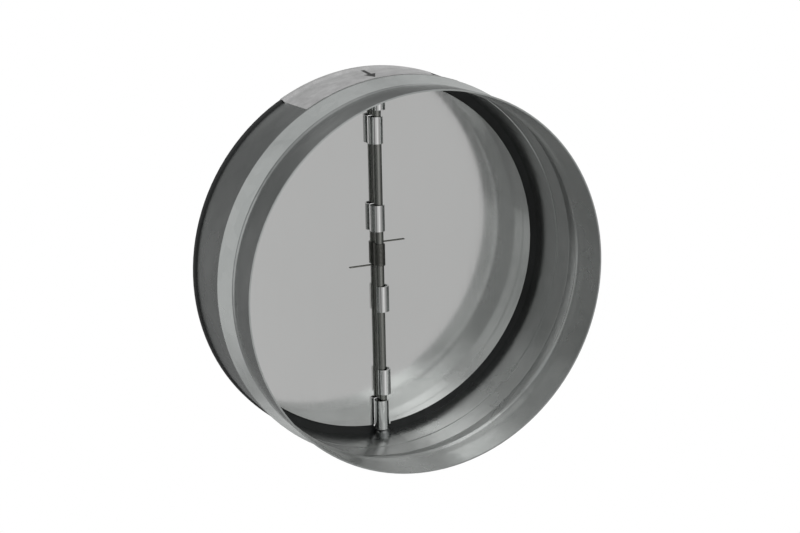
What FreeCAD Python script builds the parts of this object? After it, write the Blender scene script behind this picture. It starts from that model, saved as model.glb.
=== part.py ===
import FreeCAD, Part
import math
import os

# Butterfly damper for a round duct, in millimetres. The duct's axis is Y: the spigot's open end
# lies at y = 0 and the damper runs towards +Y. The spindle stands upright, along Z, and the
# blades swing from the far end towards the spigot, one each side of the spindle.

# Casing: one steel sheet, rolled and formed into spigot, sloping shoulder and collar
spigot_diameter = 199.0
spigot_length = 24.0
shoulder_length = 12.0
shoulder_rise = 3.5
collar_length = 35.3
casing_sheet = 0.8
bend_radius = 1.5

# Rubber seal on the collar's far edge, and its lip, which the blades close on
seal_proud = 1.2
seal_overlap = 2.3
seal_web = 1.0
lip_inset = 0.15
lip_width = 9.2
lip_edge_thickness = 0.8
seal_corner_bevel = 0.4
seat_gap = 0.25

# Spindle and its two end bushes
spindle_diameter = 4.8
spindle_end_inset = 0.1
spindle_hole_play = 0.03
bush_diameter = 8.4
bush_height = 3.4
bush_bevel = 1.5

# Blades: two like stampings with knuckles curled round the spindle
blade_lap = 4.2
blade_sheet = 0.8
blade_centre_gap = 0.5
curl_angle = 255.0
curl_play = 0.05
knuckle_length = 14.5
inner_knuckle_start = 15.5
knuckle_gap = 3.5
outer_knuckle_length = 16.8
outer_knuckle_gap = 0.5
tab_width = 6.0
notch_play = 0.3
notch_corner_radius = 0.8

# Torsion spring: one wire, close-wound round the spindle
spring_wire = 0.7
spring_coil_play = 0.05
spring_face_play = 0.04
spring_turns = 17
spring_turn_gap = 0.02
spring_leg_length = 16.6
spring_leg_inset = 0.03
spring_coil_centre_z = 2.2

# Label on the collar, across the seal's outer leg at one end
label_thickness = 0.2
label_glue = 0.02
label_start_angle = 71.0
label_end_angle = 120.0
label_shoulder_gap = 1.5
label_end_inset = 0.1
label_ramp = 1.4
label_skew_angle = 4.6
label_skew_from_angle = 92.0

# Worked out from the sizes above
spigot_radius = spigot_diameter / 2
collar_radius = spigot_radius + shoulder_rise
collar_bore_radius = collar_radius - casing_sheet
collar_start = spigot_length + shoulder_length
casing_length = collar_start + collar_length
seal_radius = collar_radius + seal_proud
seal_end = casing_length + seal_web
lip_face = casing_length - lip_inset
lip_radius = collar_bore_radius - lip_width
blade_radius = lip_radius + blade_lap

spindle_radius = spindle_diameter / 2
coil_inner_radius = spindle_radius + spring_coil_play
coil_outer_radius = coil_inner_radius + spring_wire + 2 * spring_leg_inset
coil_mean_radius = (coil_inner_radius + coil_outer_radius) / 2
face_offset = coil_outer_radius + spring_face_play
back_offset = face_offset + blade_sheet
spindle_y = lip_face - seat_gap - back_offset
curl_offset = face_offset - spindle_radius - curl_play
curl_reach = curl_offset + back_offset
notch_half_width = math.sqrt(curl_reach ** 2 - face_offset ** 2) + notch_play
outer_knuckle_end = collar_bore_radius - bush_height - outer_knuckle_gap
outer_knuckle_start = outer_knuckle_end - outer_knuckle_length
middle_knuckle_start = outer_knuckle_start - knuckle_gap - knuckle_length

X = FreeCAD.Vector(1, 0, 0)
Y = FreeCAD.Vector(0, 1, 0)
Z = FreeCAD.Vector(0, 0, 1)
ORIGIN = FreeCAD.Vector(0, 0, 0)


def in_section(radius, along):
    """A point of a section through the duct's axis: its radius, and its place along Y."""
    return FreeCAD.Vector(radius, along, 0)


def in_plan(x, y, z=0.0):
    """A point given from the spindle's axis, seen along the spindle."""
    return FreeCAD.Vector(x, spindle_y + y, z)


def unit(vector):
    """The same direction with length one."""
    direction = FreeCAD.Vector(vector)
    direction.normalize()
    return direction


def tangent_arc(before, corner, after, radius):
    """The arc that rounds a corner between two straight runs."""
    back = unit(before - corner)
    ahead = unit(after - corner)
    half_angle = back.getAngle(ahead) / 2
    setback = radius / math.tan(half_angle)
    centre = corner + unit(back + ahead) * (radius / math.sin(half_angle))
    middle = centre + unit(corner - centre) * radius
    return Part.Arc(corner + back * setback, middle, corner + ahead * setback).toShape()


def rounded_outline(corners, radii):
    """A closed outline through the corners, each rounded by its own radius, or left sharp at 0."""
    count = len(corners)
    arcs = []
    for i in range(count):
        if radii[i] > 0:
            arc = tangent_arc(corners[i - 1], corners[i], corners[(i + 1) % count], radii[i])
        else:
            arc = None
        arcs.append(arc)
    edges = []
    for i in range(count):
        following = (i + 1) % count
        start = arcs[i].Vertexes[-1].Point if arcs[i] else corners[i]
        end = arcs[following].Vertexes[0].Point if arcs[following] else corners[following]
        if arcs[i]:
            edges.append(arcs[i])
        edges.append(Part.makeLine(start, end))
    return Part.Face(Part.Wire(edges))


def turned_about_duct(outline, angle=360.0):
    """A section turned about the duct's axis."""
    return outline.revolve(ORIGIN, Y, angle)


def cylinder_along_spindle(radius, low, high):
    """A cylinder on the spindle's axis, from one height to another."""
    return Part.makeCylinder(radius, high - low, FreeCAD.Vector(0, spindle_y, low), Z)


def plan_box(x_low, x_high, y_low, y_high, z_low, z_high):
    """A box given by its limits from the spindle's axis."""
    corner = in_plan(x_low, y_low, z_low)
    return Part.makeBox(x_high - x_low, y_high - y_low, z_high - z_low, corner)


def save(shape, node):
    """One solid, or one group of like solids, in a file of its own."""
    shape.exportStep("parts/" + node + ".step")


def make_casing():
    """Spigot, sloping shoulder and collar in one sheet, with the spindle's two holes."""
    slope = math.atan2(collar_radius - spigot_radius, shoulder_length)
    bend_shift = casing_sheet * math.tan(slope / 2)
    outer = [
        in_section(spigot_radius, 0),
        in_section(spigot_radius, spigot_length),
        in_section(collar_radius, collar_start),
        in_section(collar_radius, casing_length),
    ]
    inner = [
        in_section(collar_bore_radius, casing_length),
        in_section(collar_bore_radius, collar_start + bend_shift),
        in_section(spigot_radius - casing_sheet, spigot_length + bend_shift),
        in_section(spigot_radius - casing_sheet, 0),
    ]
    outside_bend = bend_radius + casing_sheet
    radii = [0, bend_radius, outside_bend, 0, 0, bend_radius, outside_bend, 0]
    shell = turned_about_duct(rounded_outline(outer + inner, radii))
    hole = cylinder_along_spindle(
        spindle_radius + spindle_hole_play, -2 * collar_radius, 2 * collar_radius)
    return shell.cut(hole)


def make_edge_seal():
    """Rubber profile on the collar's edge, its lip notched where the outer knuckles swing."""
    leg_start = casing_length - seal_overlap
    corners = [
        in_section(collar_radius, leg_start),
        in_section(seal_radius - seal_corner_bevel, leg_start),
        in_section(seal_radius, leg_start + seal_corner_bevel),
        in_section(seal_radius, seal_end - seal_corner_bevel),
        in_section(seal_radius - seal_corner_bevel, seal_end),
        in_section(collar_bore_radius, seal_end),
        in_section(lip_radius, lip_face + lip_edge_thickness),
        in_section(lip_radius, lip_face),
        in_section(collar_bore_radius, lip_face),
        in_section(collar_bore_radius, casing_length),
        in_section(collar_radius, casing_length),
    ]
    seal = turned_about_duct(rounded_outline(corners, [0] * len(corners)))
    lip_notch = Part.makeBox(
        2 * notch_half_width, 2 * seal_web, outer_knuckle_end + notch_play - lip_radius + 1,
        FreeCAD.Vector(-notch_half_width, lip_face - seal_web / 2, lip_radius - 1))
    return seal.cut([lip_notch, half_turn(lip_notch)])


def make_spindle():
    """A plain rod whose peened ends lie flush with the collar's outside."""
    half_length = collar_radius - spindle_end_inset
    return cylinder_along_spindle(spindle_radius, -half_length, half_length)


def make_upper_bush():
    """A bevelled bush on the spindle, its base shaped to the collar's curved wall."""
    bush_radius = bush_diameter / 2
    top_z = collar_bore_radius - bush_height
    bush = cylinder_along_spindle(bush_radius, top_z, collar_radius)
    top_edges = [
        edge for edge in bush.Edges
        if edge.BoundBox.ZMax < top_z + bush_height / 2]
    bush = bush.makeChamfer(bush_bevel, top_edges)
    bush = bush.cut(cylinder_along_spindle(
        spindle_radius + spindle_hole_play, top_z, collar_radius))
    collar_bore = Part.makeCylinder(collar_bore_radius, casing_length, ORIGIN, Y)
    return bush.common(collar_bore)


def half_turn(shape):
    """The same piece turned by half a turn about the duct's axis."""
    turned = shape.copy()
    turned.rotate(ORIGIN, Y, 180)
    return turned


def knuckle_spans():
    """Where the right blade's three knuckles start and end along the spindle."""
    return [
        (inner_knuckle_start, inner_knuckle_start + knuckle_length),
        (middle_knuckle_start, middle_knuckle_start + knuckle_length),
        (-outer_knuckle_end, -outer_knuckle_start),
    ]


def make_knuckle(low, high):
    """A tab of the blade's sheet, curled loosely round the spindle."""
    def on_curl(radius, degrees):
        angle = math.radians(degrees)
        return in_plan(-curl_offset + radius * math.cos(angle), radius * math.sin(angle), low)

    start_angle = 90.0
    end_angle = start_angle + curl_angle
    middle_angle = start_angle + curl_angle / 2
    edges = [
        Part.makeLine(in_plan(tab_width, face_offset, low), on_curl(face_offset, start_angle)),
        Part.Arc(
            on_curl(face_offset, start_angle),
            on_curl(face_offset, middle_angle),
            on_curl(face_offset, end_angle)).toShape(),
        Part.makeLine(on_curl(face_offset, end_angle), on_curl(back_offset, end_angle)),
        Part.Arc(
            on_curl(back_offset, end_angle),
            on_curl(back_offset, middle_angle),
            on_curl(back_offset, start_angle)).toShape(),
        Part.makeLine(on_curl(back_offset, start_angle), in_plan(tab_width, back_offset, low)),
        Part.makeLine(in_plan(tab_width, back_offset, low), in_plan(tab_width, face_offset, low)),
    ]
    return Part.Face(Part.Wire(edges)).extrude(Z * (high - low))


def make_notch(low, high):
    """What is cut from the blade's straight edge to clear a knuckle of the other blade."""
    notch = plan_box(
        -notch_half_width, notch_half_width,
        face_offset - blade_sheet, back_offset + blade_sheet,
        low - notch_play, high + notch_play)
    inner_edges = [
        edge for edge in notch.Edges
        if edge.BoundBox.XMin > notch_half_width / 2 and edge.BoundBox.YLength > blade_sheet]
    return notch.makeFillet(notch_corner_radius, inner_edges)


def make_right_blade():
    """Half-round sheet, notched for the other blade's knuckles, with its own knuckles."""
    disc = Part.makeCylinder(
        blade_radius, blade_sheet, FreeCAD.Vector(0, spindle_y + face_offset, 0), Y)
    beyond = blade_radius + 1
    half = plan_box(
        blade_centre_gap / 2, beyond, 0, back_offset + blade_sheet, -beyond, beyond)
    plate = disc.common(half)
    for low, high in knuckle_spans():
        plate = plate.cut(make_notch(-high, -low))
    knuckles = [make_knuckle(low, high) for low, high in knuckle_spans()]
    return plate.fuse(knuckles).removeSplitter()


def make_torsion_spring():
    """The close-wound coil as one sleeve of its outer form, with a wire leg along each blade."""
    half_coil = (spring_wire + spring_turn_gap) * spring_turns / 2
    low = spring_coil_centre_z - half_coil
    high = spring_coil_centre_z + half_coil
    sleeve = cylinder_along_spindle(coil_outer_radius, low, high)
    sleeve = sleeve.cut(cylinder_along_spindle(coil_inner_radius, low, high))
    leg_inset = spring_wire / 2 + spring_leg_inset
    leg_y = coil_mean_radius
    left_leg = Part.makeCylinder(
        spring_wire / 2, spring_leg_length, in_plan(0, leg_y, low + leg_inset), X * -1)
    right_leg = Part.makeCylinder(
        spring_wire / 2, spring_leg_length, in_plan(0, leg_y, high - leg_inset), X)
    return sleeve.fuse([left_leg, right_leg])


def make_direction_label():
    """A thin label bent round the collar, its skewed far edge lapping over the seal."""
    seal_leg_start = casing_length - seal_overlap
    near = collar_start + label_shoulder_gap
    ramp_start = seal_leg_start - label_ramp
    far = seal_end - label_end_inset
    corners = [
        in_section(collar_radius + label_glue, near),
        in_section(collar_radius + label_glue, ramp_start),
        in_section(seal_radius + label_glue, seal_leg_start),
        in_section(seal_radius + label_glue, far),
        in_section(seal_radius + label_thickness, far),
        in_section(seal_radius + label_thickness, seal_leg_start - label_thickness / 2),
        in_section(collar_radius + label_thickness, ramp_start - label_thickness / 2),
        in_section(collar_radius + label_thickness, near),
    ]
    outline = rounded_outline(corners, [0] * len(corners))
    outline.rotate(ORIGIN, Y, -label_start_angle)
    band = turned_about_duct(outline, label_start_angle - label_end_angle)

    corner_x = seal_radius * math.cos(math.radians(label_skew_from_angle))
    waste = Part.makeBox(
        4 * collar_radius, 2 * collar_radius, 4 * collar_radius,
        FreeCAD.Vector(-2 * collar_radius, 0, -2 * collar_radius))
    waste.rotate(ORIGIN, Z, -label_skew_angle)
    waste.translate(FreeCAD.Vector(corner_x, far, 0))
    return band.cut(waste)


os.makedirs("parts", exist_ok=True)
right_blade = make_right_blade()
upper_bush = make_upper_bush()
save(make_casing(), "casing")
save(make_edge_seal(), "edge_seal")
save(make_spindle(), "spindle")
save(upper_bush, "upper_bush")
save(half_turn(upper_bush), "lower_bush")
save(right_blade, "right_blade")
save(half_turn(right_blade), "left_blade")
save(make_torsion_spring(), "torsion_spring")
save(make_direction_label(), "direction_label")
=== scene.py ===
import math

import bmesh
import bpy
from mathutils import Matrix, Vector


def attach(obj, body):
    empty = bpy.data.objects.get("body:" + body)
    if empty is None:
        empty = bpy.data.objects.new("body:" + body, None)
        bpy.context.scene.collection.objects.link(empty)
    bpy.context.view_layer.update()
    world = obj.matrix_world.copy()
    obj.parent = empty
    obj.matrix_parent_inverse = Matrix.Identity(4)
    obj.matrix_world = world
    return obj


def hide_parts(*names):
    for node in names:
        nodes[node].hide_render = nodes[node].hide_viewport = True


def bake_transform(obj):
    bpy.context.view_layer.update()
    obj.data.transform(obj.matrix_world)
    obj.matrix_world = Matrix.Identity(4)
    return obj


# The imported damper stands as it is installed: the duct's axis along Y, the spindle upright along
# Z, and the spigot's open end at y = 0. All sizes are in metres.
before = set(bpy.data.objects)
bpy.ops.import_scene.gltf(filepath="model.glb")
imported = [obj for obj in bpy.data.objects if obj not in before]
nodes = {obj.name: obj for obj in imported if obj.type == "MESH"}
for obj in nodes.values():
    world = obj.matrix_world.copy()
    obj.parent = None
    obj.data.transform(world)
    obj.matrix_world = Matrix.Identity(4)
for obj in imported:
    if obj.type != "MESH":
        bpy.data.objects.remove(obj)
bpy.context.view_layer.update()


# Casing: one galvanised steel sheet, rolled into spigot, sloping shoulder and collar. Bright
# zinc with a faint spangle. The rollers left a shallow swell in the spigot ahead of the shoulder
# and one fine line round the collar's inside: the solid's own sheet, cut into rings there.
def new_material(name):
    material = bpy.data.materials.new(name)
    material.use_nodes = True
    tree = material.node_tree
    return material, tree, tree.nodes["Principled BSDF"]


def object_pattern(tree, scale, rotation=(0, 0, 0)):
    coordinates = tree.nodes.new("ShaderNodeTexCoord")
    mapping = tree.nodes.new("ShaderNodeMapping")
    mapping.inputs["Scale"].default_value = scale
    mapping.inputs["Rotation"].default_value = rotation
    tree.links.new(coordinates.outputs["Object"], mapping.inputs["Vector"])
    return mapping.outputs["Vector"]


def noise(tree, vector, scale, detail=4.0, roughness=0.55):
    texture = tree.nodes.new("ShaderNodeTexNoise")
    texture.inputs["Scale"].default_value = scale
    texture.inputs["Detail"].default_value = detail
    texture.inputs["Roughness"].default_value = roughness
    tree.links.new(vector, texture.inputs["Vector"])
    return texture.outputs["Fac"]


def spread(tree, value, low, high, to_low, to_high):
    remap = tree.nodes.new("ShaderNodeMapRange")
    remap.inputs["From Min"].default_value = low
    remap.inputs["From Max"].default_value = high
    remap.inputs["To Min"].default_value = to_low
    remap.inputs["To Max"].default_value = to_high
    tree.links.new(value, remap.inputs["Value"])
    return remap.outputs["Result"]


def two_colours(tree, factor, first, second):
    ramp = tree.nodes.new("ShaderNodeValToRGB")
    ramp.color_ramp.elements[0].color = (*first, 1)
    ramp.color_ramp.elements[1].color = (*second, 1)
    tree.links.new(factor, ramp.inputs["Fac"])
    return ramp.outputs["Color"]


def raised(tree, height, distance, strength):
    bump = tree.nodes.new("ShaderNodeBump")
    bump.inputs["Distance"].default_value = distance
    bump.inputs["Strength"].default_value = strength
    tree.links.new(height, bump.inputs["Height"])
    return bump.outputs["Normal"]


def math_node(group, operation, first, second=None):
    node = group.nodes.new("ShaderNodeMath")
    node.operation = operation
    for place, value in enumerate((first, second)):
        if value is None:
            continue
        if isinstance(value, (int, float)):
            node.inputs[place].default_value = value
        else:
            group.links.new(value, node.inputs[place])
    return node.outputs["Value"]


galvanised, tree, shader = new_material("galvanised_steel")
plain = object_pattern(tree, (1, 1, 1))
spangle = tree.nodes.new("ShaderNodeTexVoronoi")
spangle.inputs["Scale"].default_value = 160
tree.links.new(plain, spangle.inputs["Vector"])
clouds = noise(tree, plain, 14, 5)
spangle_share = 0.35
mottle = math_node(
    tree, "ADD", math_node(tree, "MULTIPLY", spangle.outputs["Color"], spangle_share), clouds)
tree.links.new(
    two_colours(tree, spread(tree, mottle, spangle_share, 1.05, 0, 1),
                (0.55, 0.575, 0.565), (0.66, 0.68, 0.67)),
    shader.inputs["Base Color"])
shader.inputs["Metallic"].default_value = 1.0
tree.links.new(spread(tree, clouds, 0.3, 0.7, 0.22, 0.3), shader.inputs["Roughness"])
wave_height, grain_height = 0.0006, 0.00005
unevenness = math_node(
    tree, "ADD", math_node(tree, "MULTIPLY", noise(tree, plain, 24, 3), wave_height),
    math_node(tree, "MULTIPLY", noise(tree, plain, 70, 3), grain_height))
tree.links.new(raised(tree, unevenness, 1.0, 1.0), shader.inputs["Normal"])
nodes["casing"].data.materials[0] = galvanised

swell_start, swell_top, swell_end, swell_step = 0.0150, 0.0210, 0.0236, 0.001
swell_height = 0.0004
line_place, line_half_width, line_depth = 0.0489, 0.00045, 0.0002
beside_bends = [0.0247, 0.0353, 0.0366]
inner_face_limit = 0.1026
sharp_edge = math.radians(12)


def rolled_in(y, radius):
    """How far the rollers pushed the sheet in towards the axis, at this place and radius."""
    if swell_start < y < swell_end:
        share = min((y - swell_start) / (swell_top - swell_start),
                    (swell_end - y) / (swell_end - swell_top))
        return swell_height * share * share * (3 - 2 * share)
    if abs(y - line_place) < line_half_width / 2 and radius < inner_face_limit:
        return -line_depth
    return 0.0


formed_sheet = bpy.data.objects.new("formed_casing", bpy.data.meshes.new("formed_casing"))
bpy.context.scene.collection.objects.link(formed_sheet)
shape = bmesh.new()
shape.from_mesh(nodes["casing"].data)
bmesh.ops.remove_doubles(shape, verts=shape.verts, dist=1e-7)
rings = [swell_start + swell_step * step for step in range(9)] + [swell_end]
rings += [line_place + line_half_width * step for step in (-2, -1, 0, 1, 2)] + beside_bends
for ring in rings:
    bmesh.ops.bisect_plane(shape, geom=shape.verts[:] + shape.edges[:] + shape.faces[:],
                           plane_co=(0, ring, 0), plane_no=(0, 1, 0))
for vertex in shape.verts:
    radius = math.hypot(vertex.co.x, vertex.co.z)
    pushed = 1 - rolled_in(vertex.co.y, radius) / radius
    vertex.co = (vertex.co.x * pushed, vertex.co.y, vertex.co.z * pushed)
shape.to_mesh(formed_sheet.data)
shape.free()
formed_sheet.data.shade_smooth()
formed_sheet.data.set_sharp_from_angle(angle=sharp_edge)
formed_sheet.data.materials.append(galvanised)
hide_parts("casing")
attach(formed_sheet, "casing")

# Edge seal: black rubber profile pressed over the collar's far edge, with a thin lip inside.
# Matt, with the dull sheen of extruded rubber.
rubber, tree, shader = new_material("black_rubber")
plain = object_pattern(tree, (1, 1, 1))
tree.links.new(
    two_colours(tree, noise(tree, plain, 40), (0.012, 0.013, 0.013), (0.022, 0.024, 0.024)),
    shader.inputs["Base Color"])
tree.links.new(spread(tree, noise(tree, plain, 90), 0.3, 0.7, 0.42, 0.6),
               shader.inputs["Roughness"])
tree.links.new(raised(tree, noise(tree, plain, 900, 2), 0.0001, 0.2), shader.inputs["Normal"])
nodes["edge_seal"].data.materials[0] = rubber

# Spindle: a bright drawn steel rod, with fine lines along its length.
drawn_steel, tree, shader = new_material("drawn_steel")
along = object_pattern(tree, (1, 1, 0.02))
tree.links.new(
    two_colours(tree, noise(tree, along, 1800, 2), (0.29, 0.295, 0.275), (0.34, 0.345, 0.325)),
    shader.inputs["Base Color"])
shader.inputs["Metallic"].default_value = 1.0
tree.links.new(spread(tree, noise(tree, along, 900, 2), 0.3, 0.7, 0.24, 0.3),
               shader.inputs["Roughness"])
nodes["spindle"].data.materials[0] = drawn_steel

# End bushes: small turned steel bushes at the ends of the spindle.
turned_steel, tree, shader = new_material("turned_steel")
across = object_pattern(tree, (0.05, 0.05, 1))
tree.links.new(
    two_colours(tree, noise(tree, across, 1500, 2), (0.36, 0.37, 0.37), (0.48, 0.49, 0.49)),
    shader.inputs["Base Color"])
shader.inputs["Metallic"].default_value = 1.0
shader.inputs["Roughness"].default_value = 0.3
nodes["upper_bush"].data.materials[0] = turned_steel
nodes["lower_bush"].data.materials[0] = turned_steel

# Blades: two half-round aluminium stampings, each with three knuckles curled from its own
# sheet round the spindle. Mill finish, nearly a mirror, a little bowed and wavy.
aluminium, tree, shader = new_material("mill_aluminium")
plain = object_pattern(tree, (1, 1, 1))
rolled = object_pattern(tree, (1, 1, 0.03))
tree.links.new(
    two_colours(tree, noise(tree, plain, 9, 3), (0.76, 0.765, 0.755), (0.83, 0.83, 0.825)),
    shader.inputs["Base Color"])
shader.inputs["Metallic"].default_value = 1.0
tree.links.new(spread(tree, noise(tree, rolled, 700, 3), 0.3, 0.7, 0.07, 0.12),
               shader.inputs["Roughness"])
across_and_up = tree.nodes.new("ShaderNodeSeparateXYZ")
tree.links.new(plain, across_and_up.inputs["Vector"])
from_centre_squared = math_node(
    tree, "ADD", math_node(tree, "POWER", across_and_up.outputs["X"], 2),
    math_node(tree, "POWER", across_and_up.outputs["Z"], 2))
bowed = raised(tree, from_centre_squared, 0.3, 1.0)
wavy = raised(tree, noise(tree, plain, 11, 2), 0.0012, 0.05)
tree.links.new(bowed, wavy.node.inputs["Normal"])
tree.links.new(wavy, shader.inputs["Normal"])
nodes["right_blade"].data.materials[0] = aluminium
nodes["left_blade"].data.materials[0] = aluminium

# Torsion spring: one dark drawn wire wound close round the spindle, with a straight leg on each
# blade. It is made as two halves, each half with one of the legs.
spring_wire = 0.0007
coil_radius = 0.00283
coil_middle = (0, 0.06685, 0.0022)
coil_turns = 17
turn_rise = 0.00072
leg_length = 0.0166
points_along_half = 440

spring_steel, tree, shader = new_material("spring_steel")
plain = object_pattern(tree, (1, 1, 1))
tree.links.new(
    two_colours(tree, noise(tree, plain, 500, 3), (0.18, 0.18, 0.165), (0.32, 0.32, 0.30)),
    shader.inputs["Base Color"])
shader.inputs["Metallic"].default_value = 1.0
shader.inputs["Roughness"].default_value = 0.34


def wound_wire_tree():
    """Half of the spring: a wire that runs straight to the coil and then winds round it."""
    group = bpy.data.node_groups.new("wound_wire", "GeometryNodeTree")
    face = group.interface
    face.new_socket("Geometry", in_out="OUTPUT", socket_type="NodeSocketGeometry")
    names = ["Wire Radius", "Coil Radius", "Turn Rise", "Turns", "Leg Length"]
    for name in names:
        face.new_socket(name, in_out="INPUT", socket_type="NodeSocketFloat")
    face.new_socket("Points", in_out="INPUT", socket_type="NodeSocketInt")
    face.new_socket("Material", in_out="INPUT", socket_type="NodeSocketMaterial")
    given = group.nodes.new("NodeGroupInput").outputs
    line = group.nodes.new("GeometryNodeCurvePrimitiveLine")
    resample = group.nodes.new("GeometryNodeResampleCurve")
    group.links.new(line.outputs["Curve"], resample.inputs["Curve"])
    group.links.new(given["Points"], resample.inputs["Count"])
    factor = group.nodes.new("GeometryNodeSplineParameter").outputs["Factor"]
    wound = math_node(group, "MULTIPLY", given["Turns"], 2 * math.pi)
    wound_length = math_node(group, "MULTIPLY", wound, given["Coil Radius"])
    whole = math_node(group, "ADD", wound_length, given["Leg Length"])
    travelled = math_node(group, "MULTIPLY", factor, whole)
    beyond = math_node(group, "SUBTRACT", travelled, given["Leg Length"])
    on_coil = math_node(group, "MAXIMUM", beyond, 0.0)
    on_leg = math_node(group, "MINIMUM", beyond, 0.0)
    angle = math_node(group, "DIVIDE", on_coil, given["Coil Radius"])
    across_coil = math_node(group, "MULTIPLY", math_node(group, "SINE", angle),
                            given["Coil Radius"])
    place = group.nodes.new("ShaderNodeCombineXYZ")
    group.links.new(math_node(group, "ADD", across_coil, on_leg), place.inputs["X"])
    group.links.new(
        math_node(group, "MULTIPLY", math_node(group, "COSINE", angle), given["Coil Radius"]),
        place.inputs["Y"])
    turned = math_node(group, "DIVIDE", angle, 2 * math.pi)
    group.links.new(math_node(group, "MULTIPLY", turned, given["Turn Rise"]),
                    place.inputs["Z"])
    move = group.nodes.new("GeometryNodeSetPosition")
    group.links.new(resample.outputs["Curve"], move.inputs["Geometry"])
    group.links.new(place.outputs["Vector"], move.inputs["Position"])
    section = group.nodes.new("GeometryNodeCurvePrimitiveCircle")
    section.inputs["Resolution"].default_value = 12
    group.links.new(given["Wire Radius"], section.inputs["Radius"])
    tube = group.nodes.new("GeometryNodeCurveToMesh")
    tube.inputs["Fill Caps"].default_value = True
    group.links.new(move.outputs["Geometry"], tube.inputs["Curve"])
    group.links.new(section.outputs["Curve"], tube.inputs["Profile Curve"])
    smooth = group.nodes.new("GeometryNodeSetShadeSmooth")
    group.links.new(tube.outputs["Mesh"], smooth.inputs["Geometry"])
    real = group.nodes.new("GeometryNodeRealizeInstances")
    group.links.new(smooth.outputs["Geometry"], real.inputs["Geometry"])
    paint = group.nodes.new("GeometryNodeSetMaterial")
    group.links.new(real.outputs["Geometry"], paint.inputs["Geometry"])
    group.links.new(given["Material"], paint.inputs["Material"])
    result = group.nodes.new("NodeGroupOutput")
    group.links.new(paint.outputs["Geometry"], result.inputs["Geometry"])
    return group


def made_by_nodes(name, group, values):
    holder = bpy.data.objects.new(name + "_maker", bpy.data.meshes.new(name + "_maker"))
    bpy.context.scene.collection.objects.link(holder)
    modifier = holder.modifiers.new("maker", "NODES")
    modifier.node_group = group
    sockets = {item.name: item.identifier for item in group.interface.items_tree
               if item.in_out == "INPUT"}
    for socket, value in values.items():
        modifier[sockets[socket]] = value
    ready = holder.evaluated_get(bpy.context.evaluated_depsgraph_get())
    mesh = bpy.data.meshes.new_from_object(ready)
    holder.modifiers.remove(modifier)
    bpy.data.objects.remove(holder)
    piece = bpy.data.objects.new(name, mesh)
    bpy.context.scene.collection.objects.link(piece)
    return piece


wound_wire = wound_wire_tree()
half_rise = turn_rise * coil_turns / 2
for side, sign in (("left", -1), ("right", 1)):
    half_spring = made_by_nodes("torsion_spring_" + side + "_half", wound_wire, {
        "Wire Radius": spring_wire / 2,
        "Coil Radius": coil_radius,
        "Turn Rise": turn_rise,
        "Turns": coil_turns / 2,
        "Leg Length": leg_length,
        "Points": points_along_half,
        "Material": spring_steel,
    })
    place = Matrix.Translation(Vector(coil_middle))
    if sign > 0:
        place = place @ Matrix.Rotation(math.pi, 4, "Y")
    half_spring.data.transform(place @ Matrix.Translation(Vector((0, 0, -half_rise))))
    if sign < 0:
        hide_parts("torsion_spring")
    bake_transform(half_spring)

# Label: silver-grey foil stuck round the top of the collar and over the seal at one end.
# Its print is a plain arrow for the direction of the air.
arrow_tip, arrow_neck, arrow_tail = 0.0400, 0.0512, 0.0662
arrow_lean = 0.18
arrow_line_at_zero = -0.01972
head_half_width_per_length = 0.295
shaft_half_width = 0.0010

label_foil, tree, shader = new_material("label_foil")
plain = object_pattern(tree, (1, 1, 1))
foil = two_colours(tree, spread(tree, noise(tree, plain, 120, 6, 0.7), 0.3, 0.7, 0, 1),
                   (0.40, 0.40, 0.40), (0.60, 0.60, 0.60))
on_label = tree.nodes.new("ShaderNodeSeparateXYZ")
tree.links.new(plain, on_label.inputs["Vector"])
along = on_label.outputs["Y"]
aside = math_node(tree, "ABSOLUTE", math_node(
    tree, "SUBTRACT", math_node(tree, "SUBTRACT", on_label.outputs["X"], arrow_line_at_zero),
    math_node(tree, "MULTIPLY", along, arrow_lean)))
head = math_node(tree, "MULTIPLY", math_node(tree, "SUBTRACT", along, arrow_tip),
                 head_half_width_per_length)
head = math_node(tree, "MULTIPLY", head, math_node(tree, "LESS_THAN", along, arrow_neck))
shaft = math_node(tree, "MULTIPLY", math_node(tree, "LESS_THAN", along, arrow_tail),
                  math_node(tree, "GREATER_THAN", along, arrow_neck))
shaft = math_node(tree, "MULTIPLY", shaft, shaft_half_width)
arrow = math_node(tree, "LESS_THAN", aside, math_node(tree, "MAXIMUM", head, shaft))
printed = tree.nodes.new("ShaderNodeMix")
printed.data_type = "RGBA"
foil_colour, print_colour = [socket for socket in printed.inputs if socket.type == "RGBA"]
print_colour.default_value = (0.045, 0.045, 0.045, 1)
tree.links.new(arrow, printed.inputs["Factor"])
tree.links.new(foil, foil_colour)
mixed = next(socket for socket in printed.outputs if socket.type == "RGBA")
tree.links.new(mixed, shader.inputs["Base Color"])
shader.inputs["Metallic"].default_value = 0.25
shader.inputs["Roughness"].default_value = 0.5
nodes["direction_label"].data.materials[0] = label_foil

# The stage: a small pale floor below the hung damper.
floor_drop, floor_radius = 0.45, 0.42
floor_mesh = bpy.data.meshes.new("floor")
shape = bmesh.new()
bmesh.ops.create_circle(shape, cap_ends=True, segments=96, radius=floor_radius)
shape.to_mesh(floor_mesh)
shape.free()
floor = bpy.data.objects.new("floor", floor_mesh)
floor.location = (0, 0.04, -floor_drop)
bpy.context.scene.collection.objects.link(floor)
floor_paint, tree, shader = new_material("floor_paint")
shader.inputs["Base Color"].default_value = (0.97, 0.97, 0.97, 1)
shader.inputs["Roughness"].default_value = 0.9
shader.inputs["Specular IOR Level"].default_value = 0.0
floor_mesh.materials.append(floor_paint)

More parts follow.
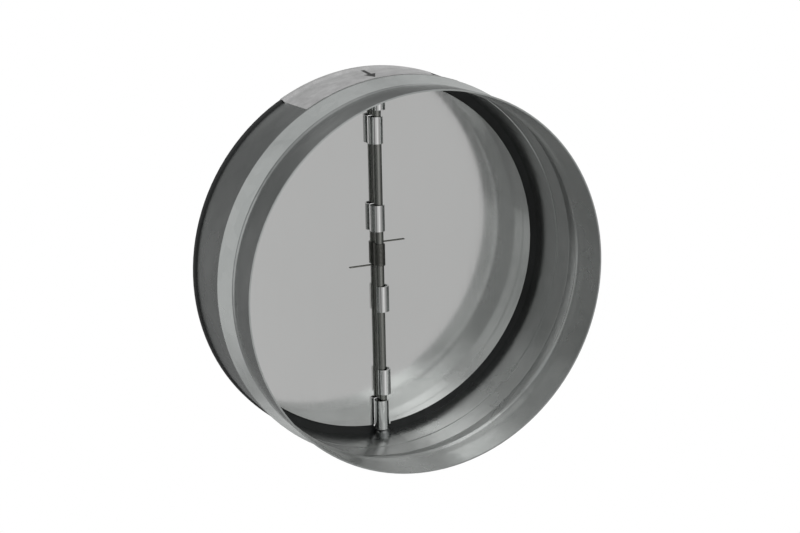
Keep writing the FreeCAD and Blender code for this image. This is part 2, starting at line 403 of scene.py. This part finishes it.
# The studio round the damper, which only its metal shows: dark walls, pale ceiling and boards.
# Each board is azimuth and elevation of its middle, half width, half height, edge and level.
studio_radius = 3
studio_level = 0.3
studio_boards = [
    (0, 90, 400, 48, 12, 0.6),
    (0, -90, 400, 44, 10, 0.42),
    (195, -52, 60, 16, 8, 0.3),
    (302, 0, 23, 90, 8, 0.62),
    (60, 0, 32, 60, 10, 0.6),
    (354, -3, 31, 31, 8, 0.13),
    (14, -2, 20, 20, 8, 0.14),
    (138, 36, 12, 16, 8, 0.6),
    (178, 2, 30, 24, 5, 0.54),
    (171, 29, 10, 9, 8, 1.45),
    (188, 60, 26, 8, 6, 1.1),
    (172, 77, 40, 7, 6, 0.24),
    (219, -3, 9, 27, 5, 0.19),
    (185, -34, 40, 12, 4, 0.2),
    (207, -28, 17, 11, 6, 0.19),
    (150, -12, 3, 20, 10, 0.48),
    (179, -8, 11, 14, 5, 0.62),
    (173, -11, 3, 11, 2, 1.0),
]


def edge_step(distance, half_width, edge):
    share = min(max((half_width + edge / 2 - distance) / edge, 0), 1)
    return share * share * (3 - 2 * share)


def studio_light(direction):
    azimuth = math.degrees(math.atan2(direction.x, direction.y)) % 360
    elevation = math.degrees(math.asin(max(-1, min(1, direction.z))))
    level = studio_level
    for turn, height, half_width, half_height, edge, board_level in studio_boards:
        aside = abs((azimuth - turn + 180) % 360 - 180)
        share = edge_step(aside, half_width, edge) * edge_step(
            abs(elevation - height), half_height, edge)
        level += (board_level - level) * share
    return level


studio_mesh = bpy.data.meshes.new("studio")
shape = bmesh.new()
bmesh.ops.create_uvsphere(shape, u_segments=240, v_segments=120, radius=studio_radius)
bmesh.ops.reverse_faces(shape, faces=shape.faces)
shape.to_mesh(studio_mesh)
shape.free()
paint = studio_mesh.attributes.new("studio_light", "FLOAT", "POINT")
for vertex, spot in zip(studio_mesh.vertices, paint.data):
    spot.value = studio_light(vertex.co.normalized())
studio = bpy.data.objects.new("studio", studio_mesh)
bpy.context.scene.collection.objects.link(studio)
studio_paint = bpy.data.materials.new("studio_paint")
studio_paint.use_nodes = True
tree = studio_paint.node_tree
tree.nodes.clear()
level = tree.nodes.new("ShaderNodeAttribute")
level.attribute_name = "studio_light"
glow = tree.nodes.new("ShaderNodeEmission")
surface = tree.nodes.new("ShaderNodeOutputMaterial")
tree.links.new(level.outputs["Fac"], glow.inputs["Strength"])
tree.links.new(glow.outputs["Emission"], surface.inputs["Surface"])
studio_mesh.materials.append(studio_paint)
studio.visible_camera = False
studio.visible_diffuse = False
studio.visible_shadow = False
studio.visible_transmission = False

# White background and even light from all sides, at a plain level.
world = bpy.data.worlds.new("world")
world.use_nodes = True
bpy.context.scene.world = world
tree = world.node_tree
sky = tree.nodes["Background"]
sky.inputs["Color"].default_value = (1, 1, 1, 1)
rays = tree.nodes.new("ShaderNodeLightPath")
seen = math_node(tree, "MAXIMUM", rays.outputs["Is Camera Ray"], rays.outputs["Is Glossy Ray"])
seen = math_node(tree, "MAXIMUM", seen, rays.outputs["Is Transmission Ray"])
tree.links.new(spread(tree, seen, 0, 1, 0.75, 1.0), sky.inputs["Strength"])

# A soft key lamp above and to the right of the camera.
key = bpy.data.lights.new("key_lamp", "AREA")
key.shape = "DISK"
key.size = 0.9
key.energy = 6
key_lamp = bpy.data.objects.new("key_lamp", key)
key_lamp.location = (0.5, -1.2, 1.1)
aim = Vector((0, 0.035, 0)) - key_lamp.location
key_lamp.rotation_euler = aim.to_track_quat("-Z", "Y").to_euler()
key_lamp.visible_glossy = False
bpy.context.scene.collection.objects.link(key_lamp)

# The camera stands a little left of the spigot's axis and above it.
camera_data = bpy.data.cameras.new("camera")
camera_data.sensor_width = 36
camera_data.lens = 63
camera = bpy.data.objects.new("camera", camera_data)
right = Vector((0.90082, -0.43381, -0.01799))
down = Vector((-0.12538, -0.22024, -0.96735))
forward = Vector((0.41569, 0.87367, -0.25279))
axes = Matrix((right, -down, -forward)).transposed().to_4x4()
camera.matrix_world = Matrix.Translation(Vector((-0.30830, -0.60687, 0.18866))) @ axes
bpy.context.scene.collection.objects.link(camera)
bpy.context.scene.camera = camera
bpy.context.scene.view_settings.view_transform = "Standard"
